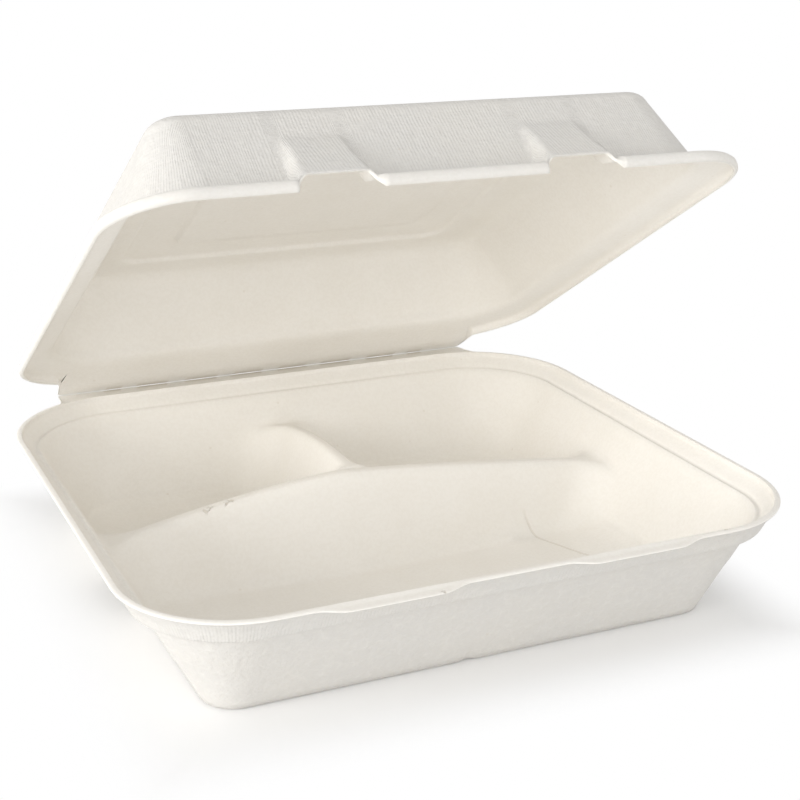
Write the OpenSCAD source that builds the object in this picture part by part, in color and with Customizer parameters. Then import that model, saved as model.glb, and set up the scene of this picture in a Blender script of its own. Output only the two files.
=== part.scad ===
// Three-compartment meal box moulded from sugarcane pulp: a tray and a hinged lid.
// Both halves are one thin sheet of even thickness. They meet at a creased strip with a
// row of short slits. The origin is on the table, midway between the tabs' free edges and
// the crease, with +Y towards the hinge. The lid stands open at lid_open degrees from shut.

/* [Sheet] */
// Thickness of the moulded sheet
sheet = 1.1; // [0.8:0.1:1.4]

/* [Tray] */
// Width of the tray over its rim, left to right
tray_w = 229; // [200:1:260]
// Depth of the tray over its rim, front to back
tray_d = 211; // [185:1:240]
// Height of the tray at the crest of its rim
tray_h = 41.5; // [37:0.5:47]
// Plan radius of the two front corners of the rim
front_corner = 38; // [30:1:46]
// Plan radius of the two back corners of the rim
back_corner = 42; // [30:1:50]
// How far the crest of the rim lies inside the outer edge
rim_crest = 1.8; // [1.4:0.2:2.2]
// How far the foot of the leaning band under the rim lies inside the outer edge
band_in = 5.2; // [4.6:0.2:6]
// Height of the rim and the band together
band_h = 9; // [8:0.5:11]
// How far the sloping wall starts inside the outer edge
wall_in = 9.5; // [9:0.1:11]
// How far the foot of the sloping wall lies inside the outer edge
foot_in = 24.9; // [22:0.1:28]
// Radius of the bottom edge
foot_r = 4; // [3:0.2:6]

/* [Dividers] */
// Front to back position of the long divider's crest
long_y = 11; // [0:1:20]
// Left to right position of the short divider's crest
short_x = -4; // [-12:1:12]
// Height of the dividers where they meet
divider_h = 33.2; // [28:0.1:36]
// How much the long divider sinks from the middle to each side wall
long_sag = 10.5; // [4:0.5:14]
// How much the short divider sinks towards the back wall
short_sag = 8; // [3:0.5:12]
// Half the width of a divider's rounded crest
crest_half = 3.6; // [3:0.2:5]
// Sideways run of a divider's face for each millimetre of height
divider_draft = 0.45; // [0.3:0.05:0.55]
// Plan radius where a divider meets a wall
end_fillet = 14; // [8:1:18]

/* [Tabs and lid catches] */
// Distance of each tab and each catch from the middle
tab_x = 41; // [35:1:48]
// Length of a tab's straight free edge
tab_len = 28; // [22:1:34]
// How far a tab stands out in front of the rim
tab_out = 2.9; // [2:0.1:5]
// Run of the curve at each end of a tab
tab_ease = 11; // [7:1:14]
// Half the width of a catch bulge at the lid's rim
catch_half = 11.5; // [9:0.5:15]
// How far a catch bulge stands out of the wall at its lower edge
catch_out = 7.8; // [6:0.2:8.2]

/* [Lid] */
// How far the lid's rim lies inside the tray's rim when shut
nest = 4.9; // [4.4:0.1:5.5]
// Height of the lid's top above the crease
lid_h = 39.1; // [34:0.5:46]
// Plan radius of the lid's front corners
lid_front_corner = 26; // [22:1:34]
// Plan radius of the lid's back corners
lid_back_corner = 39; // [30:1:44]
// Width of the lid's sloping flange, lip included
lid_flange = 10.4; // [9.6:0.2:12]
// How far the top edge of the lid's wall lies inside its rim
lid_top_in = 22; // [19:0.5:26]
// Gap between the lid's lip and the crest of the tray's rim when shut
lip_clear = 0.3; // [0.2:0.1:0.8]
// Length of the raised frame on the lid's top, left to right
frame_w = 134; // [110:1:145]
// Depth of the raised frame, front to back
frame_d = 110; // [90:1:120]
// Width of the frame's raised band
frame_band = 17; // [12:1:20]
// Height of the frame above the top
frame_rise = 1.5; // [0.8:0.1:2.2]

/* [Hinge] */
// How far the crease lies behind the tray's rim
crease_back = 8.9; // [8:0.1:11]
// How far the crease lies under the crest of the tray's rim
crease_drop = 2.8; // [2.6:0.1:3.4]
// Length of the hinge strip along the crease
strip_len = 178; // [150:1:190]
// Distance from the crease to the back of the lid's rim
lid_back = 11.5; // [11:0.1:13]
// Length of a slit
slit_len = 13.5; // [8:0.5:16]
// Length of the slit at each end of the row
end_slit_len = 6; // [4:0.5:9]
// Distance from slit to slit
slit_pitch = 20.2; // [18:0.2:22]
// Width of a slit
slit_w = 0.8; // [0.4:0.1:1.2]
// Angle of the lid from shut
lid_open = 31.6; // [0:0.1:100]

/* [Hidden] */
pulp = [0.93, 0.91, 0.86];
seg = 7;               // facets in each plan corner
tray_ease = 1.05;      // how fast the tray's corners tighten as the outline steps inwards
lid_ease = 0.35;       // the same for the lid
crease_gap = 0.05;     // the two halves of the strip stay this far from the crease
crease_y = tray_d / 2 + crease_back;
crease_z = tray_h - crease_drop;
mid_y = (crease_y - tray_d / 2 - tab_out) / 2; // the origin, from the middle of the tray
step_z = tray_h - band_h;
lip_z = crease_drop + lip_clear;               // from the crease up to the lip's lower edge
lid_w = tray_w - 2 * nest;
lid_front = crease_y + tray_d / 2 - nest;      // from the crease to the lid's front edge
lid_mid = -(lid_back + lid_front) / 2;
ridge_reach = 4;       // how far a divider's solid runs on past the outer edge
wall_mid = (wall_in + foot_in) / 2;

// One closed outline at height z: a rectangle with its own front and back corner radii
function arc(cx, cy, r, a0, z) =
    [for (i = [0:seg]) [cx + r * cos(a0 + 90 * i / seg), cy + r * sin(a0 + 90 * i / seg), z]];
function outline(hx, yf, yb, rf, rb, z) = concat(
    arc(hx - rf, yf + rf, rf, 270, z), arc(hx - rb, yb - rb, rb, 0, z),
    arc(rb - hx, yb - rb, rb, 90, z), arc(rf - hx, yf + rf, rf, 180, z));

// A profile point [inset, height] carried round the tray or round the lid
function tray_ring(p) = outline(tray_w / 2 - p[0], p[0] - tray_d / 2, tray_d / 2 - p[0],
    max(4, front_corner - tray_ease * p[0]), max(4, back_corner - tray_ease * p[0]), p[1]);
function lid_ring(p) = outline(lid_w / 2 - p[0], p[0] - lid_front, -lid_back - p[0],
    lid_front_corner - lid_ease * p[0], lid_back_corner - lid_ease * p[0], p[1]);

// A solid skinned over a stack of outlines that have the same number of points
module skin(rings) {
    n = len(rings[0]);
    m = len(rings);
    polyhedron(
        points = [for (r = rings) each r],
        faces = concat(
            [[for (i = [0:n - 1]) i]],
            [for (k = [0:m - 2], i = [0:n - 1])
                let (a = k * n + i, b = k * n + (i + 1) % n) each [[a, a + n, b + n], [a, b + n, b]]],
            [[for (i = [n - 1:-1:0]) (m - 1) * n + i]]),
        convexity = 6);
}

// Outside of the tray: bottom edge, sloping wall, step, leaning band, thin edge of the rim
tray_outside = [
    [foot_in + foot_r * 0.75, 0],
    [foot_in + foot_r * 0.25, foot_r * 0.12],
    [foot_in - foot_r * 0.05, foot_r * 0.42],
    [foot_in - foot_r * 0.25, foot_r * 0.85],
    [wall_in, step_z - 0.7],
    [wall_in - 0.8, step_z + 0.2],
    [band_in + 0.7, step_z + 1.3],
    [band_in, step_z + 2],
    [1.5, tray_h - 1.6 - sheet],
    [0.8, tray_h - 0.9 - sheet],
    [0.15, tray_h - 0.6 - sheet],
    [0, tray_h - 1],
    [0.5, tray_h - 0.3],
    [rim_crest, tray_h]];

// Inside of the tray: floor, wide cove, sloping wall, ledge, leaning band, crest of the rim
tray_inside = [
    [foot_in + 26, sheet],
    [foot_in + 15, sheet + 0.25],
    [foot_in + 8.5, sheet + 0.9],
    [foot_in + 4, sheet + 2],
    [foot_in + 0.9, sheet + 3.8],
    [foot_in - 2.8 + sheet * 1.1, sheet + 6.2],
    [wall_in + sheet * 1.3, step_z - 1.4],
    [wall_in + sheet * 0.85, step_z - 0.3],
    [wall_in - 0.2, step_z + sheet - 0.2],
    [band_in + 0.2 + sheet, step_z + sheet + 1.2],
    [band_in - 0.3 + sheet, step_z + sheet + 1.8],
    [1.4 + sheet, tray_h - 2],
    [rim_crest + 0.5, tray_h - 0.8],
    [rim_crest + 0.25, tray_h],
    [rim_crest + 0.25, tray_h + 2]];

// Extra half width of a divider at distance d from a wall, so that its faces curve into it
function flare(d, r) = d >= r ? 0 : r - sqrt(r * r - pow(r - max(d, 0.15 * r), 2));

// Section across a divider with its crest at height zt: the upper side of the sheet
function ridge_over(zt, f) =
    let (u = crest_half + f + (zt - 8 - sheet) * divider_draft, h = [
        [u + 12, sheet * 0.5], [u + 6.5, sheet + 0.31], [u + 3.4, sheet + 1.2], [u + 1.3, sheet + 2.8],
        [u, sheet + 6], [crest_half + f * 0.8, zt - 1.9], [crest_half * 0.7 + f * 0.6, zt - 0.6], [crest_half * 0.25 + f * 0.25, zt]])
    concat([for (p = h) p], [for (i = [len(h) - 1:-1:0]) [-h[i][0], h[i][1]]],
        [[-u - 12, -2], [u + 12, -2]]);

// The same section one sheet lower: the hollow under the divider
function ridge_under(zt, f) =
    let (w = sheet * 1.1, u = crest_half + f + (zt - 8 - sheet) * divider_draft, h = [
        [u + 2.2, 0], [u + 0.6 - w * 0.5, 1.4], [u - w * 0.9, 3.6], [u - w, sheet + 6],
        [crest_half + f * 0.8 - w, zt - 1.9 - sheet * 0.5], [crest_half * 0.6 + f * 0.6 - w * 0.5, zt - sheet - 0.5],
        [crest_half * 0.2 + f * 0.25, zt - sheet]])
    concat([for (p = h) p], [for (i = [len(h) - 1:-1:0]) [-h[i][0], h[i][1]]],
        [[-u - 2.2, -2], [u + 2.2, -2]]);

// Crest heights along the two dividers, both lower towards the walls
function long_top(x) = divider_h - long_sag * pow(x / (tray_w / 2 - wall_mid), 2);
short_from = long_y + 20;
function short_top(y) =
    divider_h - 0.15 - short_sag * pow(max(y - short_from, 0) / (tray_d / 2 - wall_mid - short_from), 2);

module long_divider(under) {
    reach = tray_w / 2 + ridge_reach;
    wall = tray_w / 2 - wall_mid;
    stations = [-1, -0.88, -0.84, -0.79, -0.73, -0.66, -0.5, -0.25, 0, 0.25, 0.5, 0.66, 0.73, 0.79, 0.84, 0.88, 1];
    skin([for (s = stations) let (x = s * reach, f = flare(wall - abs(x), end_fillet),
        zt = long_top(min(abs(x), wall + 3)))
        [for (p = under ? ridge_under(zt, f) : ridge_over(zt, f)) [x, long_y + p[0], p[1]]]]);
}

module short_divider(under) {
    reach = tray_d / 2 + ridge_reach;
    wall = tray_d / 2 - wall_mid;
    span = wall - long_y;
    near = long_y + crest_half;
    stations = [0, 0.1, 0.155, 0.225, 0.34, 0.5, 0.65, 0.78, 0.85, 0.9, 0.95];
    skin([for (y = concat([for (s = stations) long_y + s * span], [reach]))
        let (f = max(flare(wall - y, end_fillet), flare(y - near, end_fillet * 0.7)),
            zt = short_top(min(y, wall + 3)))
        [for (p = under ? ridge_under(zt, f) : ridge_over(zt, f)) [short_x - p[0], y, p[1]]]]);
}

// Plan of one front tab: a straight free edge with a soft curve at each end
module tab_plan() {
    y0 = -tray_d / 2 + rim_crest - 0.1;
    y1 = -tray_d / 2 - tab_out;
    half = tab_len / 2;
    curve = [for (i = [0:6]) let (t = i / 6)
        [half + tab_ease * t, y1 + (tab_out + 0.7) * (1 - cos(180 * t)) / 2]];
    polygon(concat([[-half - tab_ease, y0]], [[half + tab_ease, y0]],
        [for (i = [6:-1:0]) curve[i]], [for (i = [0:6]) [-curve[i][0], curve[i][1]]]));
}

// Plan of one half of the hinge strip, from the rim's outline to the crease at y_end, with
// round inner corners at its root
module strip_plan(rim, y_end, side) {
    fillet = 3;
    intersection() {
        offset(r = -fillet) offset(delta = fillet) {
            polygon([for (p = rim) [p[0], p[1]]]);
            translate([-strip_len / 2, side > 0 ? y_end - 40 : y_end - 50])
                square([strip_len, side > 0 ? 44 : 54]);
        }
        translate([-strip_len / 2 - 5, side > 0 ? y_end - 13.5 : y_end - 18])
            square([strip_len + 10, side > 0 ? 13.5 : 18]);
    }
}

// Row of slits along the crease: long ones with a short one at each end
module slits() {
    ends = (slit_pitch * 5 + slit_len) / 2 + (slit_pitch - slit_len) + end_slit_len / 2;
    for (i = [-2.5:1:2.5]) slit(i * slit_pitch, slit_len);
    for (s = [-1, 1]) slit(s * ends, end_slit_len);
}
module slit(x, length) {
    hull() for (s = [-1, 1])
        translate([x + s * (length - slit_w) / 2, 0, 0])
            cylinder(h = 8, r = slit_w / 2, center = true, $fn = 16);
}

// Tray's half of the strip: flat by the crease, then up over the back of the rim
module tray_strip() {
    top = [[crease_y - crease_gap, -crease_gap], [tray_d / 2 + 3.4, -crease_gap],
        [tray_d / 2 + 1.9, 0.3], [tray_d / 2 + 0.6, 1.1], [tray_d / 2 - 0.3, crease_drop - 0.65],
        [tray_d / 2 - rim_crest + 0.5, crease_drop - 0.15], [tray_d / 2 - rim_crest + 0.1, crease_drop - 0.2]];
    low = [[tray_d / 2 - rim_crest - 0.1, crease_drop - 0.2 - sheet],
        [tray_d / 2 - 1.05, crease_drop - 0.64 - sheet], [tray_d / 2 + 0.9, -sheet * 0.6],
        [tray_d / 2 + 2.8, -sheet], [crease_y - crease_gap, -sheet]];
    intersection() {
        translate([strip_len / 2 + 10, 0, crease_z])
            rotate([90, 0, -90]) linear_extrude(strip_len + 20)
                polygon([for (p = concat(top, low)) [-p[0], p[1]]]);
        translate([0, 0, crease_z - 6]) linear_extrude(14)
            strip_plan(tray_ring([0, 0]), crease_y, 1);
    }
}

// Lid's half of the strip: clear of the tray's rim when shut, then up to the lid's flange
module lid_strip() {
    over = crease_back - 3.4;      // where the tray's half starts to rise
    low = [[0.05, crease_gap], [over - 0.6, crease_gap], [over + 1.1, 0.8], [over + 3, crease_drop - 0.3],
        [crease_back + 0.4, crease_drop + 0.5], [lid_back + 0.9, lip_z + 1.5]];
    top = [[lid_back + 1.3, lip_z + 2.7], [lid_back + 0.5, lip_z + 1.9],
        [over + 2.5, crease_drop - 0.3 + sheet * 0.9], [over + 0.4, 0.7 + sheet], [over - 1, crease_gap + sheet],
        [0.05, crease_gap + sheet]];
    intersection() {
        translate([-strip_len / 2 - 10, 0, 0]) rotate([90, 0, 90]) linear_extrude(strip_len + 20)
            polygon([for (p = concat(low, top)) [-p[0], p[1]]]);
        translate([0, 0, -4]) linear_extrude(14) strip_plan(lid_ring([0, 0]), 0, -1);
    }
}

module base_tray() {
    color(pulp) translate([0, -mid_y, 0]) difference() {
        union() {
            difference() {
                skin([for (p = tray_outside) tray_ring(p)]);
                skin([for (p = tray_inside) tray_ring(p)]);
            }
            intersection() {
                skin([for (p = tray_outside) tray_ring(p)]);
                union() {
                    long_divider(false);
                    short_divider(false);
                }
            }
            for (s = [-1, 1]) translate([s * tab_x, 0, tray_h - sheet * 0.85])
                linear_extrude(sheet * 0.8) tab_plan();
            tray_strip();
        }
        long_divider(true);
        short_divider(true);
        translate([0, crease_y, crease_z]) slits();
    }
}

// Outside of the lid, from the rounded lip over the sloping flange and wall to the top
lid_outside = [
    [0.7, lip_z],
    [0.15, lip_z + 0.5],
    [0, lip_z + 1.3],
    [0.25, lip_z + 2.2],
    [0.9, lip_z + 2.9],
    [2.2, lip_z + 3.4],
    [lid_flange - 0.9, lip_z + 5.5],
    [lid_flange + 0.3, lip_z + 6.4],
    [lid_flange + 1, lip_z + 7.8],
    [lid_top_in - 1, lid_h - 5.6],
    [lid_top_in - 0.1, lid_h - 3.5],
    [lid_top_in + 1.8, lid_h - 1.7],
    [lid_top_in + 4.8, lid_h - 0.5],
    [lid_top_in + 9, lid_h]];

// Inside of the lid: behind the lip, under the flange, groove line, wall, cove, top
lid_inside = [
    [0.6 + sheet, lip_z - 4],
    [0.6 + sheet, lip_z],
    [0.1 + sheet, lip_z + 0.8],
    [0.1 + sheet, lip_z + 1.7],
    [0.8 + sheet, lip_z + 2.3],
    [lid_flange - 0.4, lip_z + 5.5 - sheet],
    [lid_flange + 0.9, lip_z + 6.1 - sheet],
    [lid_flange + 0.8 + sheet, lip_z + 7.5 - sheet],
    [lid_flange + 1.2 + sheet, lip_z + 8.4],
    [lid_top_in - 1.2 + sheet * 1.1, lid_h - 6.6],
    [lid_top_in - 0.1 + sheet, lid_h - 4.4],
    [lid_top_in + 1.6 + sheet, lid_h - 1.6 - sheet],
    [lid_top_in + 4.4 + sheet * 0.6, lid_h - 0.5 - sheet],
    [lid_top_in + 9.3, lid_h - sheet]];

// Raised rectangular frame on the top, and its hollow when under is true
module top_frame(under) {
    e = under ? sheet : 0;
    hw = frame_w / 2 - e * 0.9;
    hd = frame_d / 2 - e * 0.9;
    hole_w = frame_w / 2 - frame_band + e * 0.9;
    hole_d = frame_d / 2 - frame_band + e * 0.9;
    z0 = lid_h - e;
    slope = frame_rise + 0.7;
    difference() {
        skin([outline(hw, lid_mid - hd, lid_mid + hd, 14, 14, z0 - 0.6),
            outline(hw, lid_mid - hd, lid_mid + hd, 14, 14, z0),
            outline(hw - slope, lid_mid - hd + slope, lid_mid + hd - slope, 12, 12, z0 + frame_rise)]);
        skin([outline(hole_w, lid_mid - hole_d, lid_mid + hole_d, 9, 9, z0 - 1),
            outline(hole_w, lid_mid - hole_d, lid_mid + hole_d, 9, 9, z0),
            outline(hole_w + slope, lid_mid - hole_d - slope, lid_mid + hole_d + slope, 11, 11, z0 + frame_rise + 0.2)]);
    }
}

// Catch bulge on the lid's front wall: a wedge that fades out upwards
module catch_bulge(under) {
    e = under ? sheet : 0;
    z_low = under ? lip_z - 2 : lip_z + 4.8;
    z_face = lip_z + 5.2;
    z_fade = lid_h - 12.6 - e * 1.5;
    run = (lid_top_in - lid_flange - 2) / (lid_h - 14);
    wall = lid_flange + 1 + (z_fade - lip_z - 7.8) * run;
    face = lid_flange - catch_out + e;
    half = catch_half - e * 0.4;
    back = lid_flange + 4 + e;
    points = [for (s = [-1, 1]) each [
        [s * half, face - lid_front, z_low], [s * half, face - lid_front, z_face],
        [s * (half + 5.5 - e * 0.6), lid_flange + 0.6 + e - lid_front, z_low],
        [s * (half + 5.5 - e * 0.6), lid_flange + 0.6 + e - lid_front, z_face + 2],
        [s * (half - 2.2 - e * 0.4), wall + e * 0.4 - lid_front, z_fade],
        [s * half, back - lid_front, z_low], [s * half, back - lid_front, z_low + 4],
        [s * (half - 2.2), wall + 2 - lid_front, z_fade - 2]]];
    hull() polyhedron(points, [for (i = [0:2:14]) [i, i + 1, (i + 2) % 16]]);
}

// Gap in the lid's lip under a catch bulge
module lip_gap() {
    depth = lid_flange - catch_out + sheet;
    translate([0, -lid_front + depth, 0]) rotate([90, 0, 0]) linear_extrude(depth + 2)
        offset(r = 1.5) offset(r = -1.5)
            translate([-tab_len / 2, lip_z - 6]) square([tab_len, 11.4]);
}

module lid_shut() {
    difference() {
        union() {
            difference() {
                union() {
                    skin([for (p = lid_outside) lid_ring(p)]);
                    for (s = [-1, 1]) translate([s * tab_x, 0, 0]) catch_bulge(false);
                    top_frame(false);
                }
                skin([for (p = lid_inside) lid_ring(p)]);
                for (s = [-1, 1]) translate([s * tab_x, 0, 0]) catch_bulge(true);
                top_frame(true);
            }
            lid_strip();
        }
        for (s = [-1, 1]) translate([s * tab_x, 0, 0]) lip_gap();
        slits();
    }
}

module lid() {
    color(pulp) translate([0, crease_y - mid_y, crease_z]) rotate([-lid_open, 0, 0]) lid_shut();
}

base_tray();
lid();
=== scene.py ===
"""Looks of a three-compartment meal box moulded from sugarcane pulp.

Both halves are one thin sheet. Each half is built as a section, a closed loop of
control points (inset from the rim's outline, height), that is carried round a rounded
rectangle. The dividers, the catches and the raised frame change that section or its
heights. Sizes are in millimetres, in the tray's own frame, and are turned into metres in
the shared frame when a mesh is made.
"""

import logging
import math
from dataclasses import dataclass, field
from enum import Enum

import bmesh
import bpy
import numpy as np
from mathutils import Matrix

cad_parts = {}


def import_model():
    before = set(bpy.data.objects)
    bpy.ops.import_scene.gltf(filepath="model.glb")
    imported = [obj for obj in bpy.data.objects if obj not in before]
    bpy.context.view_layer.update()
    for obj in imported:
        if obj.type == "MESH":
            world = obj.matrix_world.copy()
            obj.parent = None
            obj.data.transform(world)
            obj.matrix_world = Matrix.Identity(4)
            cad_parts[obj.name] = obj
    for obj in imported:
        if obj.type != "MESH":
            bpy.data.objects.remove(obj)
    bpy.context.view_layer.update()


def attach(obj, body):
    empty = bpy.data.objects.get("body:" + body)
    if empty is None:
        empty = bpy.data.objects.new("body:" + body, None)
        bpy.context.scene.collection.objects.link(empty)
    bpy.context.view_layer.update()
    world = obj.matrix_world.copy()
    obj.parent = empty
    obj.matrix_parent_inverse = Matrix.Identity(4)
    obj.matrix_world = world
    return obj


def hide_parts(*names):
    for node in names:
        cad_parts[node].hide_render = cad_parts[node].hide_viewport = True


LOG = logging.getLogger("meal_box")
MM = 0.001
SHEET = 1.1
ORIGIN_Y = 3.0  # the shared origin, behind the middle of the tray
CREASE_BACK = 8.9
CREASE_DROP = 2.8
STRIP_LIFT = 1.35  # how far the strip's upper side lies above the pivot line
STRIP_HALF = 89.0
LID_OPEN = 31.6
TAB_X = 41.0
TAB_HALF = 14.0
WELD_WITHIN = 2e-6  # metres

# Places in the tray's list of control points, and how finely each stretch is cut.
TAB_POINTS = slice(11, 22)
TRAY_RAW_EDGE = slice(15, 17)
TRAY_CREST = 21
TRAY_STEPS = (1, 1, 2, 8, 1, 2, 1, 4, 2, 1, 1, 1, 1, 1, 2, 2, 1, 1, 1, 1, 1, 2, 2, 3, 4, 2, 2, 2,
              2, 2, 2, 2, 10, 3, 3, 4, 4)

# The same for the lid, from the middle of its inside to its top.
LID_RAW_EDGE = slice(15, 17)
GAP_POINTS = slice(11, 23)
STRIP_POINTS = slice(10, 23)
CATCH_INSIDE = slice(5, 15)
CATCH_OUTSIDE = slice(17, 28)
CATCH_POINTS = slice(5, 28)
INSIDE_POINTS = 16
LID_STEPS = (2, 2, 2, 2, 3, 3, 4, 1, 1, 1, 3, 3, 1, 1, 1, 2, 1, 1, 1, 1, 2, 3, 2, 1, 2, 4, 4, 4,
             2, 2, 2, 2)


class Side(Enum):
    """Stretches of a rounded rectangle, in the order in which the outline runs."""

    FRONT = 0
    FRONT_RIGHT = 1
    RIGHT = 2
    BACK_RIGHT = 3
    BACK = 4
    BACK_LEFT = 5
    LEFT = 6
    FRONT_LEFT = 7


def smooth_step(value: np.ndarray) -> np.ndarray:
    """Ease from 0 to 1: three times the square less twice the cube, clipped outside.

    Args:
        value: position between the two ends, 0 to 1.

    Returns:
        The eased weights.
    """
    t = np.clip(value, 0.0, 1.0)
    return t * t * (3.0 - 2.0 * t)


def round_max(a: np.ndarray, b: np.ndarray, radius: float) -> np.ndarray:
    """Greater of two heights, with the inner corner between them filled by an arc.

    The formula is radius plus the mean of both, less half the root of twice the radius
    squared minus the difference squared. It is the plain maximum where they differ by
    more than the radius.

    Args:
        a: first height field.
        b: second height field.
        radius: size of the arc, measured in height.

    Returns:
        The blended height field.
    """
    gap = np.clip(a - b, -radius, radius)
    arc = radius + (a + b) / 2.0 - np.sqrt(2.0 * radius**2 - gap**2) / 2.0
    return np.where(np.abs(a - b) < radius, arc, np.maximum(a, b))


def round_min(a: np.ndarray, b: np.ndarray, radius: float) -> np.ndarray:
    """Lesser of two heights, with the outer corner between them rounded off.

    Args:
        a: first height field.
        b: second height field.
        radius: size of the arc, measured in height.

    Returns:
        The blended height field.
    """
    return -round_max(-a, -b, radius)


def smoothing_matrix(nominal: np.ndarray, steps: np.ndarray) -> np.ndarray:
    """Weights that draw a smooth curve through control points.

    Each stretch is a cubic with the control points as its ends and the slopes of the
    chords beside them, on knots spaced by the square root of the chord lengths. The
    weights depend only on the nominal points, so one matrix serves every section.

    Args:
        nominal: control points of the plain section, shape (n, 2).
        steps: how many pieces each of the n - 1 stretches is cut into.

    Returns:
        A matrix of shape (points on the curve, n).
    """
    count = len(nominal)
    chord = np.linalg.norm(np.diff(nominal, axis=0), axis=1)
    knot = np.concatenate([[0.0], np.cumsum(np.sqrt(np.maximum(chord, 0.01)))])
    slope = np.zeros((count, count))
    inner = np.arange(1, count - 1)
    span = knot[inner + 1] - knot[inner - 1]
    slope[inner, inner + 1] = 1.0 / span
    slope[inner, inner - 1] = -1.0 / span
    slope[0, :2] = np.array([-1.0, 1.0]) / (knot[1] - knot[0])
    slope[-1, -2:] = np.array([-1.0, 1.0]) / (knot[-1] - knot[-2])
    place = np.eye(count)
    blocks = []
    for k, pieces in enumerate(steps):
        t = np.arange(pieces)[:, None] / pieces
        width = knot[k + 1] - knot[k]
        blocks.append(
            (2 * t**3 - 3 * t**2 + 1) * place[k]
            + (t**3 - 2 * t**2 + t) * width * slope[k]
            + (3 * t**2 - 2 * t**3) * place[k + 1]
            + (t**3 - t**2) * width * slope[k + 1]
        )
    blocks.append(place[-1:])
    return np.concatenate(blocks)


def spaced(marks: list[tuple[float, float]], end: float) -> np.ndarray:
    """Positions along a line whose spacing changes from stretch to stretch.

    Args:
        marks: pairs of (start of a stretch, spacing in it), in order.
        end: end of the last stretch.

    Returns:
        The positions, with both ends.
    """
    starts = [m[0] for m in marks] + [end]
    parts = [
        np.linspace(a, b, max(1, round((b - a) / step)), endpoint=False)
        for (a, step), b in zip(marks, starts[1:])
    ]
    return np.concatenate(parts + [np.array([end])])


@dataclass
class Stations:
    """Places round an outline at which the section is drawn.

    A straight side has a fixed zone about its centre, where places keep their distance
    as the outline steps inwards, and two end zones that shrink. A place there is
    -2 to 2, with the fixed zone from -1 to 1. A corner's place is 0 to 1 of its arc.
    """

    width_zone: float
    depth_zone: float
    depth_centre: float
    width_places: np.ndarray
    depth_places: np.ndarray
    corner_places: np.ndarray
    side: np.ndarray = field(init=False)
    place: np.ndarray = field(init=False)

    def __post_init__(self) -> None:
        """Lay the places of all eight stretches end to end."""
        parts = {
            Side.FRONT: self.width_places,
            Side.FRONT_RIGHT: self.corner_places,
            Side.RIGHT: self.depth_places,
            Side.BACK_RIGHT: self.corner_places,
            Side.BACK: -self.width_places[::-1],
            Side.BACK_LEFT: 1.0 - self.corner_places[::-1],
            Side.LEFT: self.depth_places,
            Side.FRONT_LEFT: 1.0 - self.corner_places[::-1],
        }
        self.side = np.concatenate([np.full(len(p) - 1, s.value) for s, p in parts.items()])
        self.place = np.concatenate([p[:-1] for p in parts.values()])

    def along(self, place: np.ndarray, low: np.ndarray, high: np.ndarray, centre: float,
              zone: float) -> np.ndarray:
        """Turn places on a straight side into coordinates.

        Args:
            place: places from -2 to 2.
            low: lower end of the straight side, one value a ring.
            high: upper end of the straight side, one value a ring.
            centre: middle of the fixed zone.
            zone: half length of the fixed zone.

        Returns:
            Coordinates of shape (rings, places).
        """
        up = place[None, :] >= 0
        reach = np.where(up, high[:, None] - centre, centre - low[:, None])
        inner = np.minimum(zone, 0.85 * reach)
        size = np.abs(place)[None, :]
        part = np.where(size <= 1, size * inner, inner + (size - 1) * (reach - inner))
        return centre + np.where(up, part, -part)

    def rings(self, half: np.ndarray, front: np.ndarray, back: np.ndarray,
              front_radius: np.ndarray, back_radius: np.ndarray) -> tuple[np.ndarray, np.ndarray]:
        """Draw rounded rectangles, one a ring.

        Args:
            half: half width of each ring.
            front: Y of each ring's front side.
            back: Y of each ring's back side.
            front_radius: radius of the two front corners.
            back_radius: radius of the two back corners.

        Returns:
            X and Y of shape (rings, stations).
        """
        shape = (len(half), len(self.side))
        x, y = np.zeros(shape), np.zeros(shape)
        zero = np.zeros_like(half)
        for side in (Side.FRONT, Side.BACK):
            pick = self.side == side.value
            radius = front_radius if side is Side.FRONT else back_radius
            sign = 1.0 if side is Side.FRONT else -1.0
            run = half - radius
            x[:, pick] = sign * self.along(self.place[pick], -run, run, 0.0, self.width_zone)
            y[:, pick] = (front if side is Side.FRONT else back)[:, None] + zero[:, None]
        for side in (Side.RIGHT, Side.LEFT):
            pick = self.side == side.value
            sign = 1.0 if side is Side.RIGHT else -1.0
            place = self.place[pick] * sign
            y[:, pick] = self.along(place, front + front_radius, back - back_radius,
                                    self.depth_centre, self.depth_zone)
            x[:, pick] = sign * half[:, None] + zero[:, None]
        corners = {
            Side.FRONT_RIGHT: (1.0, front + front_radius, front_radius, -90.0),
            Side.BACK_RIGHT: (1.0, back - back_radius, back_radius, 0.0),
            Side.BACK_LEFT: (-1.0, back - back_radius, back_radius, 90.0),
            Side.FRONT_LEFT: (-1.0, front + front_radius, front_radius, 180.0),
        }
        for side, (sign, centre_y, radius, start) in corners.items():
            pick = self.side == side.value
            angle = np.radians(start + 90.0 * self.place[pick])[None, :]
            centre_x = sign * (half - radius)
            x[:, pick] = centre_x[:, None] + radius[:, None] * np.cos(angle)
            y[:, pick] = centre_y[:, None] + radius[:, None] * np.sin(angle)
        return x, y


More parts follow.
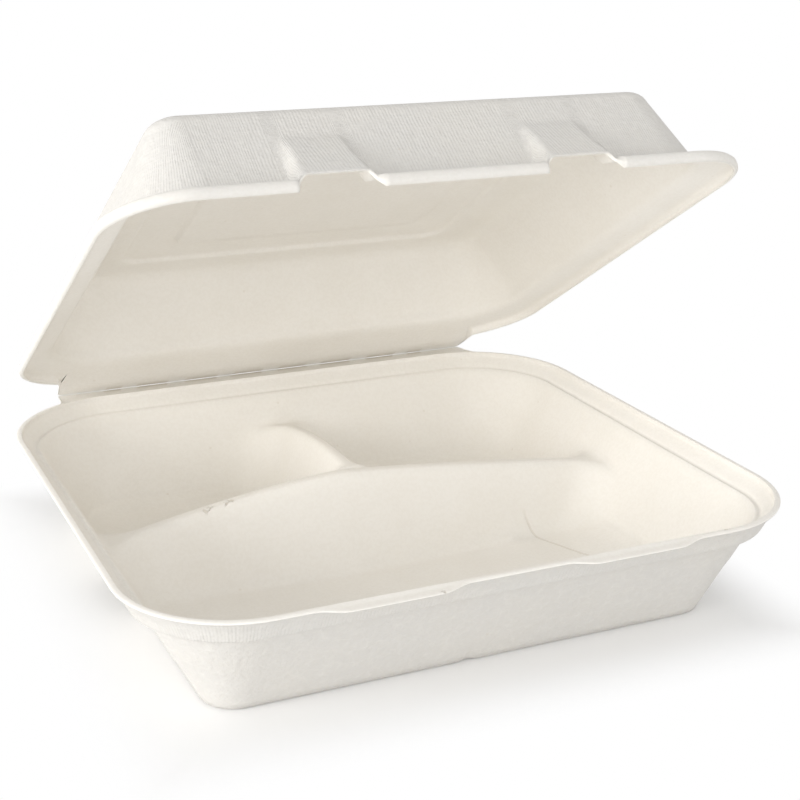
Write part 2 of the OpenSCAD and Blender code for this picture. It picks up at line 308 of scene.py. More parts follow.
@dataclass(frozen=True)
class Outline:
    """Rim of one half: a rounded rectangle that steps inwards with the section."""

    half: float
    front: float
    back: float
    front_radius: float
    back_radius: float
    ease: float
    deep_ease: float
    reach: float
    knee: float = 9.5

    def ring(self, stations: Stations, inset: np.ndarray) -> tuple[np.ndarray, np.ndarray]:
        """Step the outline inwards.

        Args:
            stations: places round the outline.
            inset: distance inside the rim, one value a ring.

        Returns:
            X and Y of shape (rings, stations).
        """
        deep = np.maximum(inset - self.knee, 0.0)
        less = self.ease * np.minimum(inset, self.knee) + self.deep_ease * deep
        return stations.rings(self.half - inset, self.front + inset, self.back - inset,
                              np.maximum(self.front_radius - less, 4.0),
                              np.maximum(self.back_radius - less, 4.0))

    def warped(self, stations: Stations, inset: np.ndarray) -> tuple[np.ndarray, np.ndarray]:
        """Draw points whose inset differs from station to station.

        The outline is linear in the inset except where a corner's radius stops shrinking,
        so straight lines between a few rings give every other. Past the rim a point moves
        straight out from the front or back, as the tabs and the strip do.

        Args:
            stations: places round the outline.
            inset: distances of shape (points of the section, stations).

        Returns:
            X and Y of the same shape.
        """
        marks = np.array([0.0, self.knee, 20.0, 23.0, 26.0, 29.0, 32.0, 37.0, 60.0])
        x, y = self.ring(stations, marks)
        inside = np.maximum(inset, 0.0)
        k = np.clip(np.searchsorted(marks, inside, side="right") - 1, 0, len(marks) - 2)
        t = (inside - marks[k]) / (marks[k + 1] - marks[k])
        px = np.take_along_axis(x, k, 0) * (1 - t) + np.take_along_axis(x, k + 1, 0) * t
        py = np.take_along_axis(y, k, 0) * (1 - t) + np.take_along_axis(y, k + 1, 0) * t
        beyond = np.maximum(-inset, 0.0)
        behind = self.back - y[0]
        stretch = np.where(y[0] > (self.front + self.back) / 2, 1.0 + behind / self.reach, -1.0)
        return px, py + beyond * stretch


def slit_depth(x: np.ndarray) -> np.ndarray:
    """How far the slits cut into one half of the strip, at positions along the crease.

    Args:
        x: positions in millimetres from the middle.

    Returns:
        Depth of the cut in millimetres, 0 between the slits.
    """
    pitch, length, end_length, half_width = 20.2, 13.5, 6.0, 0.28
    centres = [(i - 2.5) * pitch for i in range(6)]
    ends = (pitch * 5 + length) / 2 + (pitch - length) + end_length / 2
    spans = [(c, length) for c in centres] + [(-ends, end_length), (ends, end_length)]
    depth = np.zeros_like(x)
    for centre, span in spans:
        edge = np.clip((span / 2 - np.abs(x - centre)) / half_width, 0, 1)
        depth = np.maximum(depth, half_width * np.sqrt(np.clip(1 - (1 - edge) ** 2, 0, 1)))
    return depth


def slit_edge_and_shade_mask(x: np.ndarray, past: np.ndarray) -> np.ndarray:
    """Mask for the darker brown beside each slit: the cut fibre's browner tone together with
    painted shade of the slit's walls.

    Args:
        x: positions in millimetres from the middle.
        past: distance behind the crease, below zero in front of it.

    Returns:
        Weights, 1 beside a slit and 0 elsewhere.
    """
    return (slit_depth(x) > 0.06) * smooth_step((past + 0.75) / 0.3)


def painted_crease_light(past: np.ndarray) -> np.ndarray:
    """Mask of painted light along the crease, which lifts the shade that falls in its valley.

    Args:
        past: distance behind the crease, below zero in front of it.

    Returns:
        Weights, 1 at the crease and 0 from 3.5 mm in front of it.
    """
    return smooth_step((past + 3.5) / 3.0)


def strip_weight(x: np.ndarray) -> np.ndarray:
    """Share of the hinge strip in the section, with a hollow round at each end.

    Args:
        x: positions in millimetres from the middle.

    Returns:
        Weights, 1 along the strip and 0 beyond it.
    """
    past = np.clip((np.abs(x) - STRIP_HALF) / 2.6, 0.0, 1.0)
    return 1.0 - np.sqrt(1.0 - (1.0 - past) ** 2) * (past > 0)


def make_mesh(name: str, points: np.ndarray, **marks: np.ndarray) -> bpy.types.Object:
    """Join a grid of points into a closed surface.

    Rows are rings from one centre over the edge of the sheet to the other centre. The
    ring direction closes on itself, and the first and last rows collapse onto a line
    whose doubled points are merged.

    Args:
        name: name of the piece.
        points: shape (rings, stations, 3), in metres.
        marks: values kept on the mesh for the finish, each of shape (rings, stations).

    Returns:
        The new object, at the origin.
    """
    rings, stations = points.shape[:2]
    index = np.arange(rings * stations).reshape(rings, stations)
    right = np.roll(index, -1, axis=1)
    quads = np.stack([index[:-1], right[:-1], right[1:], index[1:]], axis=-1).reshape(-1, 4)
    flat = points.reshape(-1, 3)
    if signed_volume(flat, quads) < 0:
        quads = quads[:, ::-1]
    along = np.linalg.norm(np.diff(points, axis=0), axis=-1).mean(axis=1)
    v = np.concatenate([[0.0], np.cumsum(along)])
    around = np.linalg.norm(np.roll(points, -1, axis=1) - points, axis=-1).max(axis=0)
    u = np.concatenate([[0.0], np.cumsum(around)[:-1]])
    mesh = bpy.data.meshes.new(name)
    mesh.from_pydata(flat.tolist(), [], quads.tolist())
    mesh.polygons.foreach_set("use_smooth", np.ones(len(quads), dtype=bool))
    for label, values in marks.items():
        layer = mesh.attributes.new(label, "FLOAT", "POINT")
        layer.data.foreach_set("value", values.reshape(-1).astype(np.float32))
    loops = np.zeros(len(mesh.loops), dtype=np.int32)
    mesh.loops.foreach_get("vertex_index", loops)
    uv = mesh.uv_layers.new(name="run")
    grid = np.stack(np.broadcast_arrays(u[None, :], v[:, None]), axis=-1).reshape(-1, 2)
    coordinates = grid[loops]
    seam = (loops.reshape(-1, 4) % stations == 0).any(axis=1) & (
        loops.reshape(-1, 4) % stations == stations - 1).any(axis=1)
    wrap = np.repeat(seam, 4) & (loops % stations == 0)
    coordinates[wrap, 0] = u[-1] + around[-1]
    uv.data.foreach_set("uv", coordinates.astype(np.float32).reshape(-1))
    mesh.update()
    piece = bpy.data.objects.new(name, mesh)
    bpy.context.scene.collection.objects.link(piece)
    weld(piece)
    return piece


def signed_volume(points: np.ndarray, quads: np.ndarray) -> float:
    """Volume inside a closed quad mesh, below zero where its faces point inwards.

    Args:
        points: vertices of shape (n, 3).
        quads: faces of shape (m, 4).

    Returns:
        A sixth of the sum of the triple products of each triangle's corners.
    """
    total = 0.0
    for corners in ((0, 1, 2), (0, 2, 3)):
        a, b, c = (points[quads[:, k]] for k in corners)
        total += float(np.einsum("ij,ij->i", a, np.cross(b, c)).sum())
    return total / 6.0


def weld(piece: bpy.types.Object) -> None:
    """Merge doubled points and drop faces that have no area left.

    Args:
        piece: object whose mesh is closed at its centre lines.
    """
    work = bmesh.new()
    work.from_mesh(piece.data)
    bmesh.ops.remove_doubles(work, verts=work.verts, dist=WELD_WITHIN)
    bmesh.ops.dissolve_degenerate(work, edges=work.edges, dist=WELD_WITHIN / 2)
    work.to_mesh(piece.data)
    work.free()
    piece.data.update()


@dataclass
class Tray:
    """Lower half: rim, ledge, sloping wall, floor, T-shaped divider, tabs and strip."""

    width: float = 229.0
    depth: float = 211.0
    height: float = 41.5
    rim_crest: float = 1.8
    band_in: float = 5.2
    band_h: float = 9.0
    wall_in: float = 9.5
    foot_in: float = 24.9
    foot_r: float = 4.0
    long_y: float = 11.0
    short_x: float = -4.0
    divider_h: float = 33.2
    long_sag: float = 10.5
    short_sag: float = 8.0
    crest_half: float = 3.6
    draft: float = 0.45
    end_fillet: float = 14.0
    tab_out: float = 2.9
    tab_ease: float = 11.0
    segment_half: float = 48.8
    outline: Outline = field(init=False)
    stations: Stations = field(init=False)

    def __post_init__(self) -> None:
        """Lay out the rim and the places round it."""
        self.outline = Outline(self.width / 2, -self.depth / 2, self.depth / 2, 38.0, 42.0,
                               1.05, 1.05, CREASE_BACK)
        zone = 45.0
        inner = spaced([(-zone, 1.5), (-12, 0.8), (4, 1.5)], zone) / zone
        outer = 1.0 + spaced([(0, 1 / 20)], 1.0)
        across = np.concatenate([-outer[::-1], inner[1:-1], outer])
        reach = 30.0
        near = spaced([(-reach, 1.9), (-12, 0.8), (12, 1.9)], reach) / reach
        far = 1.0 + spaced([(0, 1 / 16)], 1.0)
        down = np.concatenate([-far[::-1], near[1:-1], far])
        turn = spaced([(0, 2.4), (60, 0.7), (70, 2.2)], 90.0) / 90.0
        self.stations = Stations(zone, reach, self.long_y, across, down, turn)

    def section(self) -> tuple[np.ndarray, np.ndarray]:
        """Control points of the plain section and of the section through the strip.

        Returns:
            Two arrays of (inset, height), from the underside's middle over the rim to the
            floor.
        """
        h, step, sheet = self.height, self.height - self.band_h, SHEET
        crest, band, wall, foot, r = (self.rim_crest, self.band_in, self.wall_in,
                                      self.foot_in, self.foot_r)
        top = h - CREASE_DROP + STRIP_LIFT
        under = [
            (foot + r * 0.75, 0), (foot + r * 0.25, r * 0.12), (foot - r * 0.05, r * 0.42),
            (foot - r * 0.25, r * 0.85), (wall, step - 1.3), (wall - 0.7, step - 0.6),
            (band + 1.1, step - 0.25), (band + 0.2, step + 0.35), (3.1, h - 4.4), (0.8, h - 1.5)]
        lip = [
            (0.55, h - 1.24), (0.38, h - 1.12), (0.24, h - 1.02), (0.12, h - 0.92), (0.04, h - 0.8),
            (0, h - 0.65), (0.02, h - 0.5), (0.1, h - 0.36), (0.28, h - 0.22), (0.55, h - 0.1),
            (1.0, h - 0.02), (crest, h)]
        strip = [
            (0.5, top - 0.5), (-0.4, top - 0.85), (-1.4, top - sheet), (-2.9, top - sheet),
            (-8.0, top - sheet), (-8.88, top - sheet), (-8.88, top - 0.01),
            (-8.3, top - 0.03), (-5.5, top - 0.02), (-3.2, top),
            (-1.3, top + 0.35), (crest, h)]
        over = [
            (crest + 0.25, h - 0.1), (crest + 0.5, h - 0.8), (1.4 + sheet, h - 1.8),
            (band + 0.2, h - 4.5), (band + 0.75, h - 5.3), (band + 1.35, h - 5.75),
            (band + 1.9, h - 5.75), (band + 2.4, h - 5.5), (band + 3.0, h - 5.6),
            (wall + 0.2, step + 1.4), (wall + sheet * 1.3, step - 1.4),
            (foot - 2.8 + sheet * 1.1, sheet + 6.2),
            (foot + 0.9, sheet + 3.8), (foot + 4, sheet + 2), (foot + 8.5, sheet + 0.9),
            (foot + 16, sheet + 0.12)]
        return np.array(under + lip + over, float), np.array(under + strip + over, float)

    def tab_weight(self, x: np.ndarray) -> np.ndarray:
        """Share of the tabs in the front rim: flat in the middle, a cosine at each end.

        Args:
            x: positions in millimetres from the middle.

        Returns:
            Weights from 0 to 1.
        """
        past = np.clip((np.abs(np.abs(x) - TAB_X) - TAB_HALF) / self.tab_ease, 0.0, 1.0)
        return (1.0 + np.cos(np.pi * past)) / 2.0

    def sections(self) -> np.ndarray:
        """Control points at every station.

        Returns:
            Shape (control points, stations, 2), with the tabs and the strip blended in.
        """
        plain, strip = self.section()
        x, y = (part[0] for part in self.outline.ring(self.stations, np.array([0.0])))
        h, out = self.height, self.tab_out
        tab = plain.copy()
        tab[TAB_POINTS] = [
            (0.1, h - 1.35), (-0.6, h - 1.3), (-1.4, h - 1.28), (-out + 0.3, h - 1.25),
            (-out + 0.03, h - 1.05), (-out + 0.03, h - 0.8), (-out + 0.25, h - 0.66),
            (-1.6, h - 0.64), (-0.3, h - 0.62), (0.8, h - 0.5), (self.rim_crest, h)]
        front = self.stations.side == Side.FRONT.value
        near_front = front | (self.stations.side == Side.FRONT_RIGHT.value) | (
            self.stations.side == Side.FRONT_LEFT.value)
        tab_share = self.tab_weight(x) * near_front
        strip_share = strip_weight(x) * (y > 0)
        control = plain[:, None, :] * (1 - tab_share - strip_share)[None, :, None]
        control += tab[:, None, :] * tab_share[None, :, None]
        control += strip[:, None, :] * strip_share[None, :, None]
        cut = slit_depth(x) * strip_share
        control[TRAY_RAW_EDGE, :, 0] += cut[None, :]
        return control

    def wall_plane(self, x: np.ndarray, y: np.ndarray, inset: np.ndarray | None,
                   drop: float) -> np.ndarray:
        """Height of the sloping wall's straight part, run on past its top and its foot.

        Args:
            x: positions across.
            y: positions from front to back.
            inset: distance inside the rim, or None to take it from the nearest side.
            drop: how far this surface lies below the upper side.

        Returns:
            A height that falls evenly with the inset.
        """
        if inset is None:
            inset = np.minimum(self.width / 2 - np.abs(x), self.depth / 2 - np.abs(y))
        shift = (SHEET - drop) * 1.1
        top_in, top_z = self.wall_in + shift + 0.2, self.height - self.band_h - 1.4
        slope = (top_z - 7.3) / (self.foot_in - 2.8 - self.wall_in)
        return top_z - (inset - top_in) * slope

    def dividers(self, x: np.ndarray, y: np.ndarray, wall: np.ndarray, drop: float,
                 inset: np.ndarray | None = None) -> np.ndarray:
        """Heights of a surface with the T-shaped divider raised on it.

        Each divider is a wedge: its crest's height less the distance past half the crest,
        divided by the draft. A large arc joins the wedges to each other and to the walls,
        the arched crest cuts them off, and small arcs round the crest and the foot.

        Args:
            x: positions across.
            y: positions from front to back.
            wall: heights of the plain surface.
            drop: how far this surface lies below the divider's upper side.
            inset: distance inside the rim, where it is known.

        Returns:
            The raised heights.
        """
        wall_mid = (self.wall_in + self.foot_in) / 2
        reach_x = self.width / 2 - wall_mid
        reach_y = self.depth / 2 - wall_mid
        away = np.clip(np.abs(x + 10.0), 0.0, reach_x + 13.0)
        left = 11.7 * (np.minimum(away, 89.0) / 81.0) ** 1.45
        long_top = self.divider_h - np.where(x < -10.0, left, 9.8 * (away / 98.0) ** 1.2)
        start = self.long_y + 20
        run = np.clip(np.minimum(y, reach_y + 3) - start, 0, None) / (reach_y - start)
        short_top = self.divider_h - 0.15 - self.short_sag * run**2
        shrink = drop * 1.1
        half = self.crest_half - shrink
        slope = 1.0 / self.draft
        long_face = long_top - drop * 0.5 - 1.9 - (np.abs(y - self.long_y) - half) * slope
        short_face = short_top - drop * 0.5 - 1.9 - (np.abs(x - self.short_x) - half) * slope
        behind = np.clip((y - self.long_y) / 3.0, 0, 1)
        short_face = short_face - (1 - behind) * 60.0
        round_in = self.end_fillet * slope * (1.0 if drop == 0 else 1.1)
        both = round_max(long_face, short_face, round_in * 0.5)
        blend = np.clip((short_face - long_face) / 8.0 + 0.5, 0, 1)
        top = long_top * (1 - blend) + short_top * blend
        plane = self.wall_plane(x, y, inset, drop)
        faces = round_max(both, plane, round_in)
        ridge = round_min(faces, top - drop, 3.4)
        foot = (6.5 if drop == 0 else 4.0) * smooth_step((faces - plane) / 10.0)
        return soft_max(ridge, wall, foot)

    def build(self) -> bpy.types.Object:
        """Work out the whole sheet and make its mesh.

        Returns:
            The tray, in the shared frame.
        """
        plain, _ = self.section()
        matrix = smoothing_matrix(plain, np.array(TRAY_STEPS))
        control = self.sections()
        dense = np.einsum("kc,csd->ksd", matrix, control)
        inset, height = dense[..., 0], dense[..., 1]
        x, y = self.outline.warped(self.stations, inset)
        crest = int(np.argmax(matrix[:, TRAY_CREST] > 0.999))
        edge = int(np.argmax(matrix[:, TRAY_RAW_EDGE.start] > 0.999))
        upper = np.arange(len(matrix)) > crest
        rows = inset.mean(axis=1)
        inner_rows = upper & (rows > self.band_in + 2.6)
        outer_rows = (np.arange(len(matrix)) < edge) & (rows > self.wall_in - 0.2)
        for pick, drop in ((inner_rows, 0.0), (outer_rows, SHEET)):
            height[pick] = self.dividers(x[pick], y[pick], height[pick], drop, inset[pick])
        height[upper] += self.floor_fold(x[upper], y[upper], inset[upper])
        floor_x, floor_y, floor_z = self.middle(float(rows[-1]), True, SHEET)
        under_x, under_y, under_z = self.middle(float(rows[0]), False, 0.0)
        grid_x = np.concatenate([under_x[::-1], x, floor_x])
        grid_y = np.concatenate([under_y[::-1], y, floor_y])
        grid_z = np.concatenate([under_z[::-1], height, floor_z])
        # Mask of the screen side: rougher and ribbed, and given the darker outside tone, which is
        # painted shade.
        screen = np.zeros_like(grid_x)
        screen[: len(under_x) + edge + 1] = 1.0
        past = grid_y - self.depth / 2 - CREASE_BACK
        above_step = smooth_step((grid_z - self.height + self.band_h + 0.8) / 0.8)
        ribs = screen * (0.12 + 0.88 * above_step)
        points = np.stack([grid_x, grid_y - ORIGIN_Y, grid_z], axis=-1) * MM
        # The crease values paint light over the crease valley's shade. Beside the slits, the values
        # give the cut fibre's browner tone together with painted shade.
        return make_mesh("tray_sheet", points, screen_side=screen, ribbed=ribs,
                         cut_edge=slit_edge_and_shade_mask(grid_x, past), crease=painted_crease_light(past))

    def floor_fold(self, x: np.ndarray, y: np.ndarray, inset: np.ndarray) -> np.ndarray:
        """Lift of the floor past a faint fold beside the right wall, in front of the divider.

        Args:
            x: positions across.
            y: positions from front to back.
            inset: distance inside the rim.

        Returns:
            Lifts in millimetres, rising evenly from the fold to the wall's foot.
        """
        part = smooth_step((-y - 2.0) / 8.0) * smooth_step((y + 72.0) / 30.0)
        rise = np.clip((x - 73.5) / 11.0, 0.0, 1.0) * smooth_step((inset - 20.0) / 6.0)
        return 0.9 * rise * part * smooth_step((35.0 + inset) / 40.0)

    def middle(self, inset: float, upper: bool, level: float) -> tuple[np.ndarray, ...]:
        """Rings that fill the floor, from the last ring of the wall to the long crest.

        Args:
            inset: inset of the wall's last ring.
            upper: whether this is the upper side.
            level: height of the flat floor on this side.

        Returns:
            X, Y and height of shape (rings, stations).
        """
        if upper:
            ramp = spaced([(0, 0.026), (0.72, 0.016), (0.93, 0.01)], 1.0)[1:]
        else:
            ramp = spaced([(0, 0.05), (0.7, 0.026), (0.93, 0.016)], 1.0)[1:]
        outer = self.outline.ring(self.stations, np.array([inset]))
        line = self.stations.rings(*(np.array([v]) for v in
                                     (self.segment_half, self.long_y, self.long_y, 0.0, 0.0)))
        t = ramp[:, None]
        x = outer[0] * (1 - t) + line[0] * t
        y = outer[1] * (1 - t) + line[1] * t
        z = np.full_like(x, level)
        if upper:
            z += 0.12 * (1 - smooth_step(t / 0.08))
        return x, y, self.dividers(x, y, z, 0.0 if upper else SHEET)


def soft_max(a: np.ndarray, b: np.ndarray, size: np.ndarray) -> np.ndarray:
    """Greater of two heights with a soft foot: the maximum plus the square of what the
    size exceeds their difference by, over four sizes.

    Args:
        a: first height field.
        b: second height field.
        size: height over which the two blend.

    Returns:
        The blended height field.
    """
    near = np.clip(size - np.abs(a - b), 0.0, None)
    return np.maximum(a, b) + near**2 / (4.0 * np.maximum(size, 1e-6))


@dataclass
class Lid:
    """Upper half: lip, flange, domed wall, catches and the raised frame on its top."""

    nest: float = 4.9
    height: float = 39.1
    flange: float = 10.4
    top_in: float = 22.0
    lip_z: float = 3.1
    back_gap: float = 11.5
    frame_w: float = 139.0
    frame_d: float = 132.0
    frame_band: float = 21.0
    frame_rise: float = 1.5
    gap_half: float = 12.6
    catch_half: float = 10.6
    catch_out: float = 7.8
    outline: Outline = field(init=False)
    stations: Stations = field(init=False)
    middle_y: float = field(init=False)

    def __post_init__(self) -> None:
        """Lay out the rim, in the lid's own frame with the crease at Y 0."""
        tray = Tray()
        front = -(tray.depth + CREASE_BACK - self.nest)
        self.outline = Outline(tray.width / 2 - self.nest, front, -self.back_gap, 26.0, 31.0,
                               0.35, 1.05, self.back_gap)
        self.middle_y = (front - self.back_gap) / 2
        zone = 60.0
        fine = spaced([(-zone, 1.1), (-24, 1.8), (24, 1.1)], zone) / zone
        outer = 1.0 + spaced([(0, 1 / 14)], 1.0)
        across = np.concatenate([-outer[::-1], fine[1:-1], outer])
        reach = 40.0
        near = spaced([(-reach, 3.0)], reach) / reach
        far = 1.0 + spaced([(0, 1 / 14)], 1.0)
        down = np.concatenate([-far[::-1], near[1:-1], far])
        turn = spaced([(0, 2.4), (52, 0.8), (66, 2.2)], 90.0) / 90.0
        self.stations = Stations(zone, reach, self.middle_y, across, down, turn)

    def wall_at(self, z: float) -> float:
        """Inset of the wall's outer face at a height above the crease.

        Args:
            z: height above the crease.

        Returns:
            The inset, on the straight line between the wall's foot and its top.
        """
        low_in, low_z = self.flange + 1, self.lip_z + 7.8
        high_in, high_z = self.top_in - 1, self.height - 5.6
        return low_in + (high_in - low_in) * (z - low_z) / (high_z - low_z)

    def section(self) -> tuple[np.ndarray, np.ndarray, np.ndarray, np.ndarray]:
        """Control points of the plain section, of the lip's gap, of a catch and of the strip.

        Returns:
            Four arrays of (inset, height above the crease), from the middle of the inside
            over the lip to the top.
        """
        h, lip, f, top, s = self.height, self.lip_z, self.flange, self.top_in, SHEET
        fade = h - 12.6
        half_way = 18.0
        inside = [
            (top + 9.3, h - s), (top + 4.4 + s * 0.6, h - 0.5 - s), (top + 1.6 + s, h - 1.6 - s),
            (top - 0.1 + s, h - 4.4), (top - 1.2 + s * 1.1, h - 6.6),
            (self.wall_at(fade) + s * 1.12, fade), (self.wall_at(half_way) + s * 1.12, half_way),
            (f + 1.3 + s, lip + 8.4), (f + 1.15 + s, lip + 7.5 - s), (f + 1.35, lip + 6.55 - s),
            (f + 0.1, lip + 5.55 - s), (6.0, lip + 4.2 - s), (1 + s, lip + 2.4),
            (0.1 + s, lip + 1.7), (0.1 + s, lip + 0.2), (0.45 + s, lip - 0.8)]
        outside = [
            (0.75, lip - 0.8), (0.15, lip - 0.3), (0, lip + 0.7), (0.15, lip + 2.0),
            (0.8, lip + 2.9),
            (2.2, lip + 3.4), (6.0, lip + 4.4), (f - 0.9, lip + 5.5), (f + 0.3, lip + 6.4),
            (f + 1, lip + 7.8), (self.wall_at(half_way), half_way), (self.wall_at(fade), fade),
            (top - 1, h - 5.6), (top - 0.1, h - 3.5), (top + 1.8, h - 1.7), (top + 4.8, h - 0.5),
            (top + 9, h)]
        plain = np.array(inside + outside, float)
        gap = plain.copy()
        gap[GAP_POINTS] = [
            (6.2, lip + 4.2 - s), (4.6, lip + 3.95 - s), (4.3, lip + 3.9 - s),
            (4.0, lip + 3.85 - s),
            (3.75, lip + 3.9 - s), (3.7, lip + 3.7), (3.8, lip + 3.85), (4.1, lip + 3.9),
            (4.4, lip + 3.95), (4.8, lip + 4.05), (5.4, lip + 4.2), (6.6, lip + 4.55)]
        catch = plain.copy()
        face, low = f - self.catch_out, lip + 5.2
        wall_fade = self.wall_at(fade)
        rise = np.array([0.0, 0.03, 0.08, 0.14, 0.2, 0.3, 0.42, 0.55, 0.7, 0.85, 1.0])[:, None]
        start, end = np.array([face, low + 0.3]), np.array([wall_fade, fade + 0.2])
        front_face = start + (end - start) * rise
        catch[CATCH_OUTSIDE] = front_face
        catch[16] = (face + 0.15, low)
        back = np.array([0.92, 0.75, 0.6, 0.5, 0.4, 0.3, 0.2, 0.12, 0.06, 0.03])[:, None]
        behind = np.array([s * 1.05, -s * 0.35])
        catch[CATCH_INSIDE] = start + (end - start) * back + behind
        catch[15] = (face + s, low)
        rest = STRIP_LIFT + 0.05
        strip = plain.copy()
        strip[STRIP_POINTS] = [
            (f - 0.4, lip + 5.5 - s), (0.9, lip + 1.5), (-3.0, lip - 0.2), (-6.4, rest + 0.1),
            (-10.9, rest), (-11.55, rest),
            (-11.55, rest + s), (-7.2, rest + 0.05 + s), (-5.4, rest + 0.5 + s), (-3.4, lip + 0.6),
            (-1.0, lip + 1.5), (1.6, lip + 2.9), (6.0, lip + 4.4)]
        return plain, gap, catch, strip

    def sections(self) -> np.ndarray:
        """Control points at every station, with gaps, catches and strip blended in.

        Returns:
            Shape (control points, stations, 2).
        """
        plain, gap, catch, strip = self.section()
        x, y = (part[0] for part in self.outline.ring(self.stations, np.array([0.0])))
        front = y < self.middle_y
        off = np.abs(np.abs(x) - TAB_X)
        gap_share = smooth_step((self.gap_half + 0.5 - off) / 1.0) * front
        strip_share = strip_weight(x) * (~front)
        control = plain[:, None, :] * (1 - gap_share - strip_share)[None, :, None]
        control = control + gap[:, None, :] * gap_share[None, :, None]
        control = control + strip[:, None, :] * strip_share[None, :, None]
        up = np.clip((catch[:, 1] - self.lip_z - 5.2) / (self.height - 17.8 - self.lip_z), 0, 1)
        half = self.catch_half - 1.6 * up
        facet = 1.9 + 1.3 * up
        half[:INSIDE_POINTS] -= 0.9  # the inside of a catch is narrower by the sheet
        share = np.clip((half[:, None] + facet[:, None] - off[None, :]) / facet[:, None], 0, 1)
        changed = np.zeros(len(plain), dtype=bool)
        changed[CATCH_POINTS] = True
        share = share * changed[:, None] * front[None, :]
        control = control * (1 - share[..., None]) + catch[:, None, :] * share[..., None]
        cut = slit_depth(x) * strip_share
        control[LID_RAW_EDGE, :, 0] += cut[None, :]
        return control

    def top(self, under: bool) -> tuple[np.ndarray, np.ndarray, np.ndarray]:
        """Rings of the lid's top, with the raised rectangular frame on it.

        Args:
            under: whether this is the inside.

        Returns:
            X, Y and height of shape (rings, stations), from the wall inwards.
        """
        e = SHEET * 0.9 if under else 0.0
        level = self.height - (SHEET if under else 0.0)
        slope = self.frame_rise + 0.1
        hw, hd, band = self.frame_w / 2, self.frame_d / 2, self.frame_band
        soft = 0.12
        keys = [
            (hw - e + soft, hd - e + soft, 9, 0.0), (hw - e - 0.3, hd - e - 0.3, 8.7, 0.12),
            (hw - e - slope + 0.3, hd - e - slope + 0.3, 7.4, 0.92),
            (hw - e - slope - soft, hd - e - slope - soft, 7, 1.0),
            (hw - band + e + slope + soft, hd - band + e + slope + soft, 7, 1.0),
            (hw - band + e + slope - 0.3, hd - band + e + slope - 0.3, 6.6, 0.92),
            (hw - band + e + 0.3, hd - band + e + 0.3, 5.2, 0.12),
            (hw - band + e - soft, hd - band + e - soft, 5, 0.0)]
        steps = [1, 2, 1, 5, 1, 2, 1]
        rows = []
        for (a, b), pieces in zip(zip(keys, keys[1:]), steps):
            t = np.arange(pieces)[:, None] / pieces
            rows.append(np.array(a)[None, :] * (1 - t) + np.array(b)[None, :] * t)
        rows.append(np.array(keys[-1])[None, :])
        table = np.concatenate(rows)
        first = self.outline.ring(self.stations, np.array([self.top_in + (9.3 if under else 9.0)]))
        x, y = self.stations.rings(table[:, 0], self.middle_y - table[:, 1],
                                   self.middle_y + table[:, 1], table[:, 2], table[:, 2])
        line = self.stations.rings(*(np.array([v]) for v in
                                     (hw - hd, self.middle_y, self.middle_y, 0.0, 0.0)))
        t = spaced([(0, 0.09)], 1.0)[1:, None]
        lead = np.array([0.34, 0.67])[:, None]
        grid_x, grid_y = (
            np.concatenate([a * (1 - lead) + b[:1] * lead, b, b[-1:] * (1 - t) + c * t])
            for a, b, c in zip(first, (x, y), line))
        lift = np.concatenate([np.zeros(2), table[:, 3], np.zeros(len(t))])
        z = level + self.frame_rise * lift[:, None] + np.zeros_like(grid_x)
        return grid_x, grid_y, z

    def build(self) -> bpy.types.Object:
        """Work out the whole sheet, open it about the crease and make its mesh.

        Returns:
            The lid, in the shared frame.
        """
        plain = self.section()[0]
        matrix = smoothing_matrix(plain, np.array(LID_STEPS))
        dense = np.einsum("kc,csd->ksd", matrix, self.sections())
        inset, height = dense[..., 0], dense[..., 1]
        px, py = self.outline.warped(self.stations, inset)
        in_x, in_y, in_z = self.top(True)
        out_x, out_y, out_z = self.top(False)
        x = np.concatenate([in_x[::-1], px, out_x])
        y = np.concatenate([in_y[::-1], py, out_y])
        z = np.concatenate([in_z[::-1], height, out_z])
        edge = int(np.argmax(matrix[:, INSIDE_POINTS] > 0.999))
        screen = np.ones_like(x)
        screen[: len(in_x) + edge] = 0.0
        lip = smooth_step((z - self.lip_z - 3.3) / 0.3)
        ribs = screen * lip
        # The lip band mixes in 40% of the lighter inside tone; both tones carry painted light and
        # shade.
        screen = screen * (0.6 + 0.4 * lip)
        angle = math.radians(LID_OPEN)
        tray = Tray()
        crease_y = tray.depth / 2 + CREASE_BACK - ORIGIN_Y
        crease_z = tray.height - CREASE_DROP
        world_y = y * math.cos(angle) + z * math.sin(angle) + crease_y
        world_z = -y * math.sin(angle) + z * math.cos(angle) + crease_z
        points = np.stack([x, world_y, world_z], axis=-1) * MM
        # The crease values paint light over the crease valley's shade. Beside the slits, the values
        # give the cut fibre's browner tone together with painted shade.
        return make_mesh("lid_sheet", points, screen_side=screen, ribbed=ribs,
                         cut_edge=slit_edge_and_shade_mask(x, y), crease=painted_crease_light(y))


